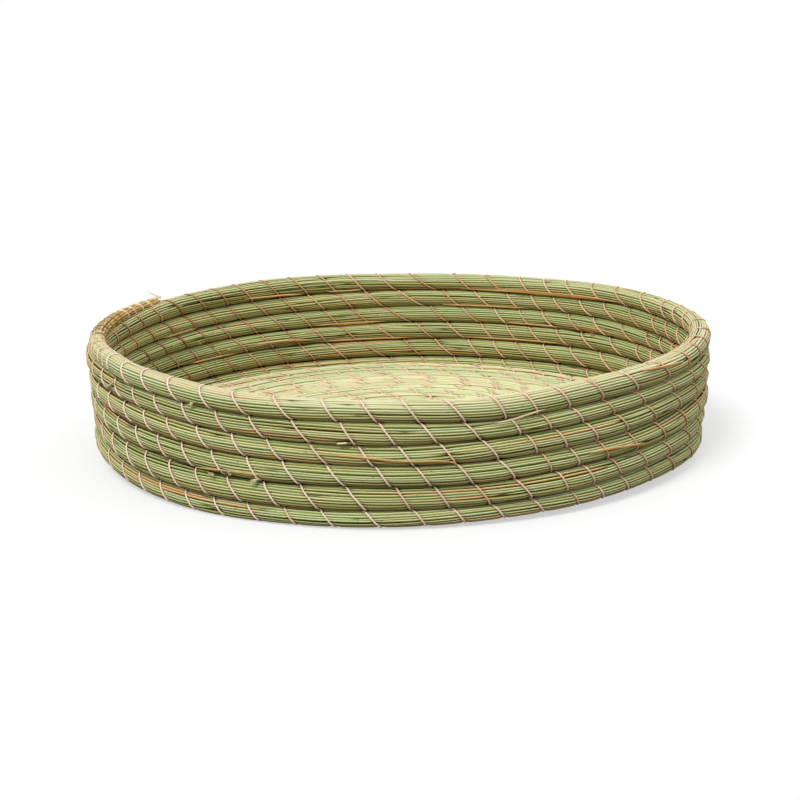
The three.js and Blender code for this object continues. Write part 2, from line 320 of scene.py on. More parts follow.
# %% One stitch, and the dent that it makes
ROUND_ANGLES = np.array([0, 25, 55, 90, 125, 155, 180, 205, 240, 270, 300, 335, 360.0])
ROUND_SHARES = np.array([0, 0.035, 0.125, 0.245, 0.352, 0.405, 0.412, 0.425, 0.56, 0.705, 0.85,
                         0.975, 1])
DENT, DENT_WIDTH, STITCH = 0.75, 2.3, 24.5
SWELL = 0.12  # how far the stems stand out between two stitches


def stitch_share(angle):
    """How much of a stitch is left at this angle, counted from the top down the outside."""
    return np.interp(np.mod(angle, 360), ROUND_ANGLES, ROUND_SHARES)


def outline(angle, half_width, half_height):
    """From the middle of the bundle to its surface, at this angle from upright. The outside is
    pressed a little flatter than the inside."""
    s, c = np.sin(np.radians(angle)), np.abs(np.cos(np.radians(angle)))
    squareness = 2.25 + 0.2 * smooth(s, -0.4, 0.4)
    s = np.abs(s)
    return ((s / half_width) ** squareness + (c / half_height) ** squareness) ** (-1 / squareness)


def dent(number, round_angle):
    """How far the stems are drawn in near a stitch."""
    away = number + stitch_share(round_angle)
    away = (away - np.round(away)) * STITCH
    return DENT * np.exp(-((away / DENT_WIDTH) ** 2)) - SWELL


print("a stitch draws the stems in by %.2f mm" % dent(0.0, 0.0))

# %% [markdown]
# ## The groove inside the rim
# Beside the thin end, the stems of the rim part into two bands. The groove between them runs
# along the inside of the rim and sinks slowly as it goes. It is a dip in the stems' depth, so the
# stems beside it stay whole.

# %% The groove
GROOVE_AZIMUTHS = (98, 110, 120, 130, 143, 152)
GROOVE_HEIGHTS = (67.2, 67.9, 68.8, 70, 70.6, 73.0)
GROOVE_WIDTH = 6  # degrees round the bundle


def groove(p, turn, angle):
    """How deep the groove is at this angle from upright."""
    a = p["azimuth"] + 360 * np.ceil((90 - p["azimuth"]) / 360)
    height = np.interp(a, GROOVE_AZIMUTHS, GROOVE_HEIGHTS)
    at = 360 - np.degrees(np.arccos(np.clip((height - p["height"]) / p["half_height"], -1, 1)))
    on_rim = smooth(turn, WALL_ROWS - 1.2, WALL_ROWS - 1.15) * (turn < WALL_ROWS - 0.7)
    here = smooth(a, 96, 112) * (1 - smooth(a, 146, 154)) * on_rim
    return here * np.exp(-(((np.mod(angle, 360) - at) / GROOVE_WIDTH) ** 2))


# %% [markdown]
# ## A mesh of many tubes
# A bundle shows two dozen stems round its outside, each a few decimetres long. Curves with a
# bevel could make them, and the thread below is made that way. There are over a thousand stems
# though, and each needs its own colour, thickness and dents, so here their rings of points are
# worked out in arrays and joined with faces: the same tube that a bevelled curve gives, but
# every ring knows where it is on the bundle. Each point carries six numbers for the material:
# the stem's tone, how much painted shade the point gets, how far it is on the row's under side,
# which gets a painted shade too, how near it is to the painted highlight on the side of the stem
# that faces out and up, how much of the brown sheath is on it, and whether it is on the wall,
# whose grass is darker than the floor's.

# %% Tubes as rings of points
LOOKS = ("tone", "shade", "under", "ridge", "sheath", "wall")


class Tubes:
    """Collects tubes, each a grid of rings by points."""

    def __init__(self):
        self.points, self.faces, self.sizes, self.grain, self.spans = [], [], [], [], []
        self.looks = {key: [] for key in LOOKS}
        self.count = 0

    def add(self, rings, along, **looks):
        """rings is rings x sides x 3, and along is each ring's place along the bundle."""
        n, sides = rings.shape[:2]
        index = np.arange(n * sides).reshape(n, sides) + self.count
        after = np.roll(index, -1, axis=1)
        quads = np.stack([index[:-1], index[1:], after[1:], after[:-1]], -1).reshape(-1, 4)
        self.faces += [quads.ravel(), index[0], index[-1][::-1]]
        self.sizes += [np.full(len(quads), 4), [sides], [sides]]
        i, j = np.meshgrid(np.arange(n - 1), np.arange(sides), indexing="ij")
        u = np.stack([along[i], along[i + 1], along[i + 1], along[i]], -1).reshape(-1)
        v = np.stack([j, j, j + 1, j + 1], -1).reshape(-1) / sides
        ends = np.arange(sides) / sides
        self.grain += [np.stack([u, v], -1), np.stack([np.full(sides, along[0]), ends], -1),
                       np.stack([np.full(sides, along[-1]), ends[::-1]], -1)]
        self.spans.append((along.min(), along.max(), len(quads) * 4 + 2 * sides))
        self.points.append(rings.reshape(-1, 3))
        for key, value in looks.items():
            value = np.asarray(value, float)
            value = value[:, None] if value.shape == (n,) else value
            self.looks[key].append(np.broadcast_to(value, (n, sides)).reshape(-1))
        self.count += n * sides


# %% [markdown]
# ## From tubes to a piece
# A mesh is built from arrays of points, corners and faces. It gets two maps. In the map "grain",
# u is the length along the bundle in metres and v goes once round the stem, which the streaks of
# the grass need. In the second map, "OFBake", each stem lies in a strip of its own that no other
# stem shares, so the material can be painted into a picture.

# %% A mesh with two maps
def strips(spans):
    """For each tube, a strip of the map that no other tube shares, and how many strips."""
    free, rows = [], np.zeros(len(spans), int)
    for k in sorted(range(len(spans)), key=lambda k: spans[k][0]):
        start, end, _ = spans[k]
        row = next((r for r, last in enumerate(free) if last < start - 2), len(free))
        free[row:row + 1] = [end]
        rows[k] = row
    return rows, len(free)


def packed_map(tubes, grain):
    rows, count = strips(tubes.spans)
    row = np.repeat(rows, [corners for _, _, corners in tubes.spans])
    low, high = grain[:, 0].min(), grain[:, 0].max()
    return np.stack([0.002 + 0.996 * (grain[:, 0] - low) / (high - low),
                     (row + 0.08 + 0.84 * grain[:, 1]) / count], -1)


def tubes_mesh(tubes, name):
    mesh = bpy.data.meshes.new(name)
    points = np.concatenate(tubes.points) / 1000
    sizes, corners = np.concatenate(tubes.sizes), np.concatenate(tubes.faces)
    mesh.vertices.add(len(points))
    mesh.vertices.foreach_set("co", points.astype(np.float32).ravel())
    mesh.loops.add(len(corners))
    mesh.loops.foreach_set("vertex_index", corners.astype(np.int32))
    mesh.polygons.add(len(sizes))
    mesh.polygons.foreach_set("loop_start", (np.cumsum(sizes) - sizes).astype(np.int32))
    grain = np.concatenate(tubes.grain)
    for layer, uv in (("grain", grain * [0.001, 1]), ("OFBake", packed_map(tubes, grain))):
        mesh.uv_layers.new(name=layer).uv.foreach_set("vector", uv.astype(np.float32).ravel())
    mesh.uv_layers.active = mesh.uv_layers["grain"]
    for key, parts in tubes.looks.items():
        layer = mesh.attributes.new(key, "FLOAT", "POINT")
        layer.data.foreach_set("value", np.concatenate(parts).astype(np.float32))
    mesh.polygons.foreach_set("use_smooth", np.ones(len(sizes), bool))
    mesh.update(calc_edges=True)
    mesh.validate()
    return mesh


# %% Finishing a piece
def finish_piece(piece, material, nodes):
    """Gives a piece its material and body, and hides the solids that it stands for."""
    piece.data.materials.clear()
    piece.data.materials.append(material)
    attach(piece, "root")
    if nodes:
        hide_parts(*nodes)
    print(f"{piece.name}: {sum(len(p.vertices) - 2 for p in piece.data.polygons)} triangles")


def tubes_piece(tubes, name, material, slot, *nodes):
    piece = bpy.data.objects.new(name, tubes_mesh(tubes, name))
    bpy.context.scene.collection.objects.link(piece)
    finish_piece(piece, material, nodes)


# %% [markdown]
# ## Rings of a stem
# A stem's ring is worked out in the upright plane through the tray's middle: how far out it is
# and how high. The light fades between the stems and where two rows meet, and that shading is
# kept with the points as painted shade, so the creases stay dark and narrow in any light. A
# painted highlight is kept with them too, along the side of each stem that faces out and up.

# %% How dark a point of a stem is
def has_next_row(turn):
    """1 where another row or ring lies on this one, and 0 on the rim."""
    return 1 - smooth(turn, COIL_END - 1 - 0.02, COIL_END - 1)


def row_shading(p, turn, radial, up, sunk):
    """The painted shade of a point, from what stands round it, and how far it is on the row's
    under side, where a painted shade falls too.
    """
    across, above = radial - p["radius"], up - p["height"]
    own = np.degrees(np.arctan2(across, above))
    surface = outline(own, p["half_width"], p["half_height"]) * p["full"]
    toward = np.cos(np.radians(own - p["fold"]))
    contact = np.where(toward > 0, has_next_row(turn), 1.0)
    between_stems = 0.78 * smooth(surface - np.hypot(across, above), 0.28, 1.35)
    at_crease = 0.75 * contact * smooth(np.abs(toward), 0.8, 1.0)
    in_groove = 0.3 * smooth(sunk, 0.2, 1.0)
    inward = smooth(-np.sin(np.radians(own)), -0.2, 0.5)
    # Painted shade on the row's under side, reaching further up on the inside of the wall.
    under = smooth(-toward, -0.1 - 0.4 * inward, 0.85 - 0.2 * inward) * p["out"]
    return 1 - (1 - between_stems) * (1 - at_crease) * (1 - in_groove), under


# %% Where the rings of a stem are
RIM_HIGHLIGHT, RIM_HIGHLIGHT_MORE, RIM_HIGHLIGHT_AT = 0.24, 0.1, 290  # a painted highlight on top of the rim, strongest at azimuth 290
WALL_LOOK_TURNS = (-0.27, -0.02)  # where the floor's look turns into the wall's


def stem_rings(turn, angle, depth, radius, sides):
    """Rings of a stem at an angle from upright and a depth under the bundle's surface."""
    p = end_place(turn)
    surface = outline(angle, p["half_width"], p["half_height"])
    surface = surface - dent(number_at(turn), angle - p["fold"])
    sunk = groove(p, turn, angle)
    reach = (surface - radius - depth - sunk) * p["full"]
    radius = radius * p["full"] ** 0.45
    a = np.radians(angle)
    radial, up = p["radius"] + reach * np.sin(a), p["height"] + reach * np.cos(a)
    up = np.where(up < radius + 0.1, radius + 0.1, up)  # pressed flat by the table
    # The painted highlight faces outwards, turned towards up, where the light falls.
    bright = np.arctan2(np.sin(a), np.cos(a) + 0.5)[:, None]
    around = bright + np.pi + np.arange(sides) * 2 * np.pi / sides
    radial = radial[:, None] + radius[:, None] * np.sin(around)
    up = up[:, None] + radius[:, None] * np.cos(around)
    on_rim = ((1 - has_next_row(turn)) * smooth(np.cos(a), -0.1, 0.8))[:, None]
    p = {key: value[:, None] for key, value in p.items()}
    # A painted highlight that is stronger on top of the rim.
    rim_highlight = RIM_HIGHLIGHT + RIM_HIGHLIGHT_MORE * np.cos(np.radians(p["azimuth"] - RIM_HIGHLIGHT_AT))
    ridge = np.clip(np.cos(around - bright) + rim_highlight * on_rim, 0, 1)
    shade, under = row_shading(p, turn[:, None], radial, up, sunk[:, None])
    return (in_space(p["azimuth"], radial, up),
            dict(shade=shade, under=under, ridge=ridge, wall=smooth(turn, *WALL_LOOK_TURNS)))


# %% [markdown]
# ## Filling the bundle with stems
# Stems fill the bundle in layers: twenty-four places round the outside, sixteen in a layer below
# them, and a dark core that closes the gaps. In each place one stem follows another. Where a stem
# ends it dives under its neighbours, and the next comes up, which is how a maker feeds grass into
# a running bundle. The whole bundle twists a little to and fro, its stems wander, and a few lie
# across the others.

# %% What a single stem does
STEM_LENGTH, OVERLAP = (260, 620), 34
FOOT = (50, 220)  # how long the brown sheath is
END_DIVE = (2.3, 30)  # how deep a stem's ends go, and over what length


def twist(length):
    return 6 * waves(length, 21, 620, 170, 4)


def dive(along, start, end, depth, reach):
    """How deep a stem lies because it ends near here."""
    return depth * (1 - smooth(along, start, start + reach) * (1 - smooth(along, end - reach, end)))


def brown_on(along, start, foot, sheath, near_crease, at_end):
    """How much brown shows: at a stem's foot, more often near a crease, on a few stems from end
    to end, and on the thin end of the bundle."""
    brown = (sheath < 0.12 + 0.2 * near_crease) * (1 - smooth(along, start + 0.4 * foot, start + foot))
    brown = np.maximum(brown, (sheath > 0.97) * 0.9)
    return np.maximum(brown, at_end * (0.45 + 0.5 * sheath))


def turns_for_rings(first, last, per_stitch, round_angle_at):
    """Turns for the rings of one place, which step on with the stitches that cross it."""
    grid = np.arange(math.floor(number_at(first) * per_stitch) - per_stitch,
                     math.ceil(number_at(last) * per_stitch) + 2 * per_stitch) / per_stitch
    turns = turn_at(np.maximum.accumulate(grid - stitch_share(round_angle_at(turn_at(grid)))))
    return np.concatenate([[first], turns[(turns > first + 2e-4) & (turns < last - 2e-4)], [last]])


# %% One place of the bundle, filled from end to end
def stems_in_place(tubes, first, last, key, base_angle, per_stitch, depth, spread, radius, sides):
    """One place round the bundle, filled with stems from one turn to another."""
    rng = np.random.default_rng(key)
    phase = rng.integers(1 << 30)

    def angle_at(length):
        return base_angle + twist(length) + spread * waves(length, phase, 480, 130, 3)

    turns = turns_for_rings(first, last, per_stitch,
                            lambda turn: angle_at(length_at(turn)) - place(turn)["fold"])
    lengths = length_at(turns)
    near_crease = abs(math.cos(math.radians(base_angle)))
    begin = table_length[0] - rng.uniform(0, 300)
    while begin < lengths[-1]:
        end = begin + rng.uniform(*STEM_LENGTH)
        tone, sheath, lift = rng.random(), rng.random(), rng.normal(0, 0.08)
        thick = radius * np.clip(rng.normal(1, 0.11), 0.75, 1.2)
        aside, foot = rng.normal(0, 0.9), rng.uniform(*FOOT)
        begin, start = end - OVERLAP, begin
        inside = (lengths >= start) & (lengths <= end)
        if inside.sum() < 3:
            continue
        along, turn = lengths[inside], turns[inside]
        at_end = smooth(turn, END_STARTS + 0.06, END_STARTS + 0.12)
        deep = depth + lift + 0.07 * waves(along, phase + 7, 260, 80, 3) \
            + dive(along, start, end, *END_DIVE) + 0.35 * at_end * waves(along, phase + 9, 16, 6, 3)
        taper = smooth(along, start, start + 22) * (1 - smooth(along, end - OVERLAP, end))
        thick = thick * (0.45 + 0.55 * taper) * (1 + 0.6 * smooth(turn, END_STARTS, END_STARTS + 0.1))
        rings, looks = stem_rings(turn, angle_at(along) + aside, deep, thick, sides)
        # The painted highlight is a little weaker on the thin end.
        looks["ridge"] = looks["ridge"] * (1 - 0.12 * at_end[:, None])
        brown = brown_on(along, start, foot, sheath, near_crease, at_end)
        tubes.add(rings, along, tone=tone, sheath=brown, **looks)


# %% Stems that lie across the others
def stems_across(tubes, first, last, key, per_metre):
    rng = np.random.default_rng(key)
    low, high = length_at(first), length_at(last)
    for _ in range(int((high - low) / 1000 * per_metre)):
        size = rng.uniform(70, 200)
        start = rng.uniform(low, high - size)
        along = np.linspace(start, start + size, int(size / 4.5))
        turn = np.interp(along, table_length, table_turns)
        angle = rng.uniform(0, 360) + twist(along) + rng.normal(0, 16) * (along - start) / size
        deep = dive(along, start, start + size, 1.9, size * 0.22) - rng.uniform(0.1, 0.5)
        rings, looks = stem_rings(turn, angle, deep, np.full(len(along), rng.uniform(0.5, 0.75)), 6)
        tubes.add(rings, along, tone=rng.random(), sheath=float(rng.random() < 0.2), **looks)


# %% [markdown]
# ## The dark core
# No light comes through a real row, because the bundle is packed with stems. Here a tube in the
# middle stands for them, painted in full shade, so it is nearly black. It reaches a little into
# the row before and after, and further at two places: where the floor's last ring meets the
# wall, and at the beginning in the middle.

# %% The core of the bundle
CORE_MIDDLE, CORE_SIDES, CORE_RINGS = 4.3, 8, 144  # rings in a turn
INTO_NEXT, TO_EDGE, FURTHER = 1.08, 0.84, 4.0


def core(tubes, first, last):
    turns = np.linspace(first, last, int((last - first) * CORE_RINGS) + 2)
    p = {key: value[:, None] for key, value in end_place(turns).items()}
    turn = turns[:, None]
    around, fold = np.arange(CORE_SIDES) * 2 * np.pi / CORE_SIDES, np.radians(p["fold"])
    half = mix(p["half_height"], p["half_width"], p["fold"] / 90)
    ahead = half * mix(TO_EDGE, INTO_NEXT, has_next_row(turn)) \
        + FURTHER * ((turn > -1.25) & (turn < -0.2))
    behind = half * np.where((turn > 0) & (turn < 1), TO_EDGE, INTO_NEXT) \
        + FURTHER * (turn < -FLOOR_TURNS + 0.7)
    far = np.where(np.cos(around) > 0, ahead, behind)
    reach = (CORE_MIDDLE + (far - CORE_MIDDLE) * np.cos(around) ** 8) * p["full"]
    toward, beside = reach * np.cos(around), reach * np.sin(around)
    radial = p["radius"] + toward * np.sin(fold) + beside * np.cos(fold)
    up = np.maximum(p["height"] + toward * np.cos(fold) - beside * np.sin(fold), 0.6)
    # The whole core is painted in full shade: its shade is 1, which gives it the dark shade colour.
    tubes.add(in_space(p["azimuth"], radial, up), length_at(turns),
              **{key: float(key == "shade") for key in LOOKS})


# %% All that fills the bundle
OUTER_PLACES, INNER_PLACES, ACROSS = 24, 16, 8  # stems that lie across, for each metre
OUTER_STEM = dict(depth=0.0, spread=1.4, radius=0.8, sides=6)
INNER_STEM = dict(depth=1.7, spread=4.0, radius=0.85, sides=4)
WALL_RINGS, FLOOR_RINGS = 7, 5  # rings of a stem for each stitch


def bundle(first, last):
    """The tubes of the bundle from one turn to another. On the thin end every other outer stem
    is left out."""
    tubes = Tubes()
    per_stitch = FLOOR_RINGS if first < 0 else WALL_RINGS
    for k in range(OUTER_PLACES):
        until = min(last, END_STARTS + 0.09) if k % 2 else last
        stems_in_place(tubes, first, until, [1, k], 360 / OUTER_PLACES * (k + 0.5), per_stitch,
                       **OUTER_STEM)
    for k in range(INNER_PLACES):
        stems_in_place(tubes, first, last, [1, 100 + k], 360 / INNER_PLACES * k, per_stitch // 2,
                       **INNER_STEM)
    stems_across(tubes, first, last, [1, 200], ACROSS)
    core(tubes, first, last)
    return tubes


# %% [markdown]
# ## Shader maths as plain sums
# A material is a graph of small nodes. Written out one by one they are hard to read, so a small
# class wraps a socket and turns Python's own signs into Math nodes: a * b adds a Multiply node
# and links it. Colours don't go through it, because a Math node would turn them grey.

# %% A wrapped socket
class Wire:
    def __init__(self, nodes, socket):
        self.nodes, self.socket = nodes, socket

    def math(self, operation, *others):
        return self.nodes.maths(operation, self, *others)

    def __add__(self, other): return self.math("ADD", other)
    def __mul__(self, other): return self.math("MULTIPLY", other)
    def __sub__(self, other): return self.math("SUBTRACT", other)
    def __rsub__(self, other): return self.nodes.maths("SUBTRACT", other, self)
    __radd__, __rmul__ = __add__, __mul__

    def output(self, name):
        """Another output of the same node."""
        return Wire(self.nodes, self.socket.node.outputs[name])

    def ramp_between(self, low, high):
        """0 below low, 1 above high, and smooth in between."""
        return self.nodes.add("ShaderNodeMapRange", {"interpolation_type": "SMOOTHSTEP"}, "Result",
                              self, low, high, 0.0, 1.0)


# %% A maker of nodes
class Nodes:
    """The nodes of a new material, or of the tree that is given."""

    def __init__(self, name, tree=None):
        if tree is None:
            self.material = bpy.data.materials.new(name)
            self.material.use_nodes = True
            tree = self.material.node_tree
        self.tree = tree
        self.shader = tree.nodes.get("Principled BSDF")

    def set_socket(self, socket, value):
        if isinstance(value, Wire):
            self.tree.links.new(value.socket, socket)
        else:
            socket.default_value = value

    def add(self, kind, settings, output, *inputs, **named):
        """A node of a kind, with its settings, which output is wanted, and its sockets' values or
        links, by number or by name."""
        node = self.tree.nodes.new(kind)
        for key, value in settings.items():
            if key == "stops":
                for k, (at, tint) in enumerate(value):
                    elements = node.color_ramp.elements
                    stop = elements[k] if k < 2 else elements.new(at)
                    stop.position, stop.color = at, (*tint, 1)
            else:
                setattr(node, key, value)
        for key, value in [*enumerate(inputs), *named.items()]:
            self.set_socket(node.inputs[key], value)
        return Wire(self, node.outputs[output])

    def maths(self, operation, *values):
        return self.add("ShaderNodeMath", {"operation": operation}, 0, *values)

    def attribute(self, name):
        return self.add("ShaderNodeAttribute", {"attribute_name": name}, "Fac")

    def blend(self, factor, one, other, kind="MIX"):
        """Two colours mixed. A Mix node's colour sockets are numbers 6 and 7, and its output 2."""
        node = self.tree.nodes.new("ShaderNodeMix")
        node.data_type, node.blend_type = "RGBA", kind
        self.set_socket(node.inputs[0], factor)
        for key, value in ((6, one), (7, other)):
            self.set_socket(node.inputs[key], value if isinstance(value, Wire) else (*value, 1))
        return Wire(self, node.outputs[2])

    def to(self, name, value):
        self.set_socket(self.shader.inputs[name], value)

    def surface(self, wire, kind="Material Output"):
        self.tree.links.new(wire.socket, self.tree.nodes[kind].inputs["Surface"])


def colour(*screen):
    """A screen colour from 0 to 255 as the linear numbers that a shader reads."""
    return tuple(c / 255 / 12.92 if c <= 10 else ((c / 255 + 0.055) / 1.055) ** 2.4 for c in screen)


def grain_map(n):
    """The length along a stem or thread, in metres, and the way round it, from 0 to 1."""
    along = n.add("ShaderNodeSeparateXYZ", {}, "X", n.add("ShaderNodeUVMap", {"uv_map": "grain"}, "UV"))
    return along, along.output("Y")


# %% [markdown]
# ## Dried grass
# Dried esparto is never one colour. Each stem has its own tone between brown, olive, green-grey
# and pale straw, which drifts slowly along it, with fine streaks along the fibre and an orange
# sheath at its foot. Light and shade are painted on top: a painted highlight along the side of
# each stem that faces out and up, paler still on top of the rim, a painted shade between the
# stems, in the creases and in the groove, and a painted shade on the under side of each row. The
# streaks use the stem's own map, whose u runs along the stem and v round it, so they follow every
# bend. The floor's grass is paler, and its last stretch, which comes out under the wall, turns
# into the wall's darker grass.

# %% The material of the stems
# Painted shade: this tint darkens the under side of each row.
UNDERSIDE_SHADE = (0.56, 0.44, 0.2)


def grass(name, stops, pale, brown, deep, painted_highlight_share, wall_tint=None):
    n = Nodes(name)
    tone, shade, under, ridge, sheath = (n.attribute(key) for key in LOOKS[:5])
    along, around = grain_map(n)

    def streaks(along_scale, round_scale, detail):
        at = n.add("ShaderNodeCombineXYZ", {}, 0, along * along_scale, around * round_scale,
                   tone * 91.7)
        return n.add("ShaderNodeTexNoise", {}, "Fac", Vector=at, Scale=1.0, Detail=detail,
                     Roughness=0.6)

    slow, fine = streaks(9.0, 0.35, 1.0), streaks(45.0, 5.0, 3.0)
    fibre, spots = streaks(16.0, 14.0, 2.0), streaks(300.0, 3.0, 1.0)
    stem = n.add("ShaderNodeValToRGB", {"stops": stops}, "Color",
                 tone * 0.68 + slow * 0.36 + fine * 0.14 - 0.06)
    if wall_tint:
        stem = n.blend(n.attribute("wall"), stem, wall_tint, "MULTIPLY")
    stem = n.blend(sheath * fine.ramp_between(0.28, 0.55), stem, brown)
    stem = n.blend(fine.ramp_between(0.54, 0.76) * 0.4, stem, colour(98, 84, 26))
    stem = n.blend(fibre.ramp_between(0.5, 0.7) * 0.2, stem, pale)
    # Painted highlight: a pale line along the side of each stem that faces out and up.
    stem = n.blend(ridge.ramp_between(0.7, 0.97) * (slow * 0.5 + (painted_highlight_share - 0.25)), stem, pale)
    stem = n.blend(spots.ramp_between(0.7, 0.8) * 0.5, stem, colour(72, 54, 28))
    # Painted shade on the under side of each row.
    stem = n.blend(under * 0.85, stem, UNDERSIDE_SHADE, "MULTIPLY")
    # Painted shade between the stems, in the creases and in the groove, towards the dark colour deep.
    stem = n.blend(shade * 0.93, stem, deep)
    n.to("Base Color", stem)
    n.to("Roughness", fine * 0.3 + 0.42)
    n.to("Specular IOR Level", 0.2)
    n.to("Normal", n.add("ShaderNodeBump", {}, 0, Strength=0.25, Distance=0.0003, Height=fibre))
    print("material", name, "with", len(n.tree.nodes), "nodes")
    return n.material


# %% Grass of the wall and of the floor
TONE_PLACES = (0.0, 1.0, 0.12, 0.28, 0.45, 0.6, 0.75, 0.88)  # a ramp has both its ends first


def tone_stops(*tones):
    return [(at, colour(*tone)) for at, tone in zip(TONE_PLACES, tones)]


wall_grass = grass("wall_grass", tone_stops(
    (136, 92, 30), (232, 214, 170), (156, 132, 50), (134, 152, 66), (162, 166, 80), (136, 161, 80),
    (188, 180, 94), (153, 181, 98)),
    pale=colour(238, 230, 198), brown=colour(204, 132, 54), deep=colour(42, 33, 4), painted_highlight_share=0.7)
floor_grass = grass("floor_grass", tone_stops(
    (160, 126, 54), (244, 234, 204), (186, 166, 90), (172, 184, 106), (206, 204, 134),
    (190, 204, 132), (230, 218, 158), (212, 220, 164)),
    pale=colour(250, 242, 220), brown=colour(206, 142, 66), deep=colour(60, 50, 16),
    painted_highlight_share=0.75, wall_tint=(0.62, 0.65, 0.38))

# %% [markdown]
# ## The rows of the wall
# Each row is its own piece, so that none gets too heavy. Neighbouring pieces share the ring of
# points where they meet, and the seam can't be seen.

# %% Stems of the wall
for row in range(WALL_ROWS):
    tubes_piece(bundle(row, min(row + 1, COIL_END)), f"row_{row + 1}_stems",
                wall_grass, "wall_grass", "wall_coil")

# %% [markdown]
# ## The rings of the floor
# The floor is the same bundle, wound flat. Its length is shared out over five pieces.

# %% Stems of the floor
FLOOR_CUTS = (-FLOOR_TURNS - START_CURL, -8, -5, -3, -1.5, 0)
for k, (first, last) in enumerate(zip(FLOOR_CUTS, FLOOR_CUTS[1:])):
    tubes_piece(bundle(first, last), f"floor_stems_{k + 1}",
                floor_grass, "floor_grass", "floor_coil")

# %% [markdown]
# ## Sewing thread
# The thread is a plain twisted cord, a little over a millimetre thick. Its twist is too fine to
# model, so a sine along its map makes the plies, in colour and in bump. Its tone carries painted
# light and shade: palest at the front left, where the lamp falls, and brownest in the shade at
# the back left. It is pale on the floor too.

# %% The material of the thread
PLY_LENGTH, PLIES = 0.0032, 2


def cotton():
    n = Nodes("thread")
    tone = n.attribute("tone")
    along, around = grain_map(n)
    ply = (along * (2 * math.pi / PLY_LENGTH) + around * (2 * math.pi * PLIES)).math("SINE")
    at = n.add("ShaderNodeCombineXYZ", {}, 0, along * 900.0, around * 4.0, tone * 40.0)
    fluff = n.add("ShaderNodeTexNoise", {}, "Fac", Vector=at, Scale=1.0, Detail=3.0)
    base = n.add("ShaderNodeValToRGB", {"stops": [
        (0.0, colour(164, 110, 62)), (1.0, colour(255, 228, 208)), (0.5, colour(236, 186, 146))]},
        "Color", tone)
    base = n.blend(fluff.ramp_between(0.4, 0.75) * 0.15, base, colour(206, 158, 122))
    base = n.blend((1 - ply.ramp_between(-1.0, -0.3)) * 0.2, base, colour(170, 116, 80))
    n.to("Base Color", base)
    n.to("Roughness", 0.85)
    n.to("Normal", n.add("ShaderNodeBump", {}, 0, Strength=0.3, Distance=0.0003,
                         Height=ply * 0.6 + fluff))
    return n.material


thread_material = cotton()

# %% [markdown]
# ## The thread's line and tone
# The thread is a curve: one line of points round and round the bundle, given its thickness by a
# bevel. It lies in the dents of the stems and tucks in at the creases. A bevelled curve is quick
# to make, and once it is a mesh it can carry a map and a tone.

# %% Points and tones of the thread
THREAD_RADIUS, THREAD_SIDES = 0.56, 6
# Painted light and shade of the thread by azimuth: palest at the front left, where the lamp falls, and
# brownest in the shade at the back left.
THREAD_LIGHT_AND_SHADE = {0: 0.5, 60: 0.5, 110: 0.3, 150: 0.12, 180: 0.4, 215: 0.95, 250: 0.95, 290: 0.75,
               330: 0.5}  # by azimuth
FLOOR_THREAD_TONE = 0.75
WHITE_STITCHES = number_at(last_row_turn(np.array([167, 162])))  # the last few, thick and white


def thread_line(first, last, density=1.0):
    """Points of the thread round the bundle, from one stitch number to another."""
    steps = np.concatenate([mix(a, b, np.array([0, 0.5]))
                            for a, b in zip(ROUND_ANGLES[:0:-1], ROUND_ANGLES[-2::-1])])
    wholes = np.arange(math.floor(first * density) - 1, math.ceil(last * density) + 1)
    angle = np.tile(steps, len(wholes))
    share = stitch_share(angle % 360 + (angle == 360) * 359.999)
    number = (np.repeat(wholes, len(steps)) + 1 - share) / density
    keep = (number >= first) & (number <= last)
    angle, number = angle[keep], number[keep]
    turn = turn_at(number)
    p = end_place(turn)
    upright = angle + p["fold"]
    surface = outline(upright, p["half_width"], p["half_height"]) - DENT + SWELL
    tucked = 0.4 * smooth(np.abs(np.cos(np.radians(angle))), 0.85, 1) * has_next_row(turn)
    reach = surface * p["full"] + THREAD_RADIUS * 0.85 - tucked
    a = np.radians(upright)
    radial, up = p["radius"] + reach * np.sin(a), p["height"] + reach * np.cos(a)
    return in_space(p["azimuth"], radial, np.maximum(up, THREAD_RADIUS + 0.05)), number


def thread_tones(numbers):
    own = np.random.default_rng(77).normal(0, 0.1, 4000)
    azimuth = HOME - 360 * turn_at(numbers)
    # Painted light and shade by azimuth, with each stitch's own random tone on top.
    tone = np.interp(azimuth, list(THREAD_LIGHT_AND_SHADE), list(THREAD_LIGHT_AND_SHADE.values()), period=360)
    tone = tone + own[np.floor(numbers).astype(int) % len(own)]
    tone = mix(FLOOR_THREAD_TONE, tone, smooth(numbers, number_at(-0.25), number_at(-0.02)))
    tone = tone - 0.5 * smooth(numbers, number_at(END_STARTS + 0.06), number_at(END_STARTS + 0.1))
    return np.clip(tone + 1.4 * smooth(numbers, *WHITE_STITCHES), 0, 1)


print("a row's thread is %.2f m long" % (length_along(
    thread_line(number_at(0), number_at(1))[0])[-1] / 1000))

# %% [markdown]
# ## From a curve to a mesh
# The converted mesh has a ring of six points for each point of the curve, in the same order, so
# its tones and its map come straight from the line. The map's seam needs care: the last face of a
# ring runs from five sixths to one, and not back to nought.

